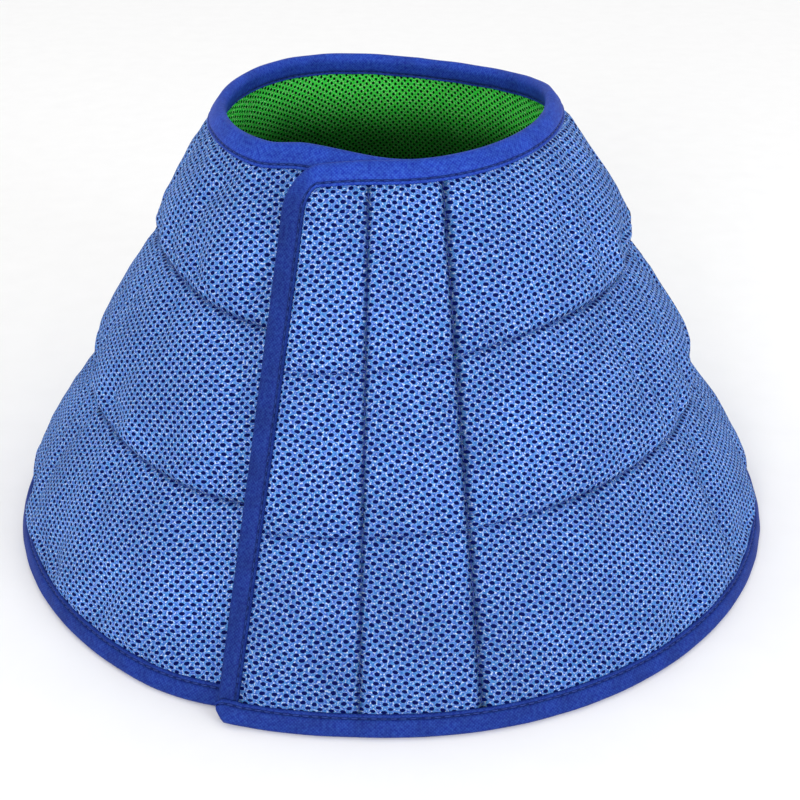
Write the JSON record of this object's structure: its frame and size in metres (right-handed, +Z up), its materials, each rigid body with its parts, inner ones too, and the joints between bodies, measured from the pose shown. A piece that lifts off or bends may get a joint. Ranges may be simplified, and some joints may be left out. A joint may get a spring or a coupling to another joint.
{
  "type": "elizabethan collar",
  "caption": "Padded cloth recovery cone for a pet: quilted air mesh, bound edges and a wrap-over front flap closed by hook and loop.",
  "frame": {"origin": "centre of the bounding box's bottom face, on the surface the rim stands on, close to the cone's axis", "axes": "+Z up from the rim to the neck; -Y towards the front flap; +X to the right seen from the front"},
  "size_m": [0.3012, 0.3072, 0.1654],
  "materials": {
    "cover_mesh": "azure blue polyester air mesh, knitted, matte with soft highlights on the yarn",
    "lining_mesh": "bright green polyester air mesh, knitted, matte",
    "foam": "white open-cell polyether foam, matte",
    "binding_tape": "royal blue woven polyester bias tape, matte with a faint sheen",
    "hook_tape": "blue moulded nylon hook tape",
    "loop_tape": "blue brushed nylon loop tape"
  },
  "bodies": {
    "root": {"cover_rear": "cover_mesh", "foam_hem_rear": "foam", "foam_middle_rear": "foam", "foam_neck_rear": "foam", "hem_binding_rear": "binding_tape", "inner_edge_binding": "binding_tape", "lining_rear": "lining_mesh", "loop_strip_lower": "loop_tape", "loop_strip_upper": "loop_tape", "neck_binding_rear": "binding_tape"},
    "side_wing": {"cover_side_wing": "cover_mesh", "foam_hem_side_wing": "foam", "foam_middle_side_wing": "foam", "foam_neck_side_wing": "foam", "hem_binding_side_wing": "binding_tape", "lining_side_wing": "lining_mesh", "neck_binding_side_wing": "binding_tape"},
    "front_wing": {"cover_front_wing": "cover_mesh", "foam_hem_front_wing": "foam", "foam_middle_front_wing": "foam", "foam_neck_front_wing": "foam", "hem_binding_front_wing": "binding_tape", "lining_front_wing": "lining_mesh", "neck_binding_front_wing": "binding_tape"},
    "flap_column": {"cover_flap_column": "cover_mesh", "foam_hem_flap_column": "foam", "foam_middle_flap_column": "foam", "foam_neck_flap_column": "foam", "hem_binding_flap_column": "binding_tape", "lining_flap_column": "lining_mesh", "neck_binding_flap_column": "binding_tape"},
    "flap_tip": {"cover_flap_tip": "cover_mesh", "foam_hem_flap_tip": "foam", "foam_middle_flap_tip": "foam", "foam_neck_flap_tip": "foam", "hem_binding_flap_tip": "binding_tape", "hook_strip_lower": "hook_tape", "hook_strip_upper": "hook_tape", "lining_flap_tip": "lining_mesh", "neck_binding_flap_tip": "binding_tape"}
  },
  "joints": [
    {"name": "rear_bend", "type": "hinge", "parent": "root", "child": "side_wing", "pos_m": [0.08228, 0.13385, 0.00287], "axis": [-0.2678, -0.4156, 0.8693], "range_deg": [0, 35]},
    {"name": "side_bend", "type": "hinge", "parent": "side_wing", "child": "front_wing", "pos_m": [0.15455, 0.01377, 0.00287], "axis": [-0.4949, -0.0513, 0.8675], "range_deg": [0, 35]},
    {"name": "column_fold", "type": "hinge", "parent": "front_wing", "child": "flap_column", "pos_m": [0.03094, -0.15135, 0.00109], "axis": [-0.0781, 0.4722, 0.8781], "range_deg": [0, 70]},
    {"name": "tip_peel", "type": "hinge", "parent": "flap_column", "child": "flap_tip", "pos_m": [-0.00938, -0.15445, 0.00109], "axis": [0.0142, 0.4738, 0.8805], "range_deg": [0, 80]}
  ],
  "couplings": [
    {"joint": "side_bend", "follows": "rear_bend", "ratio": 1}
  ]
}
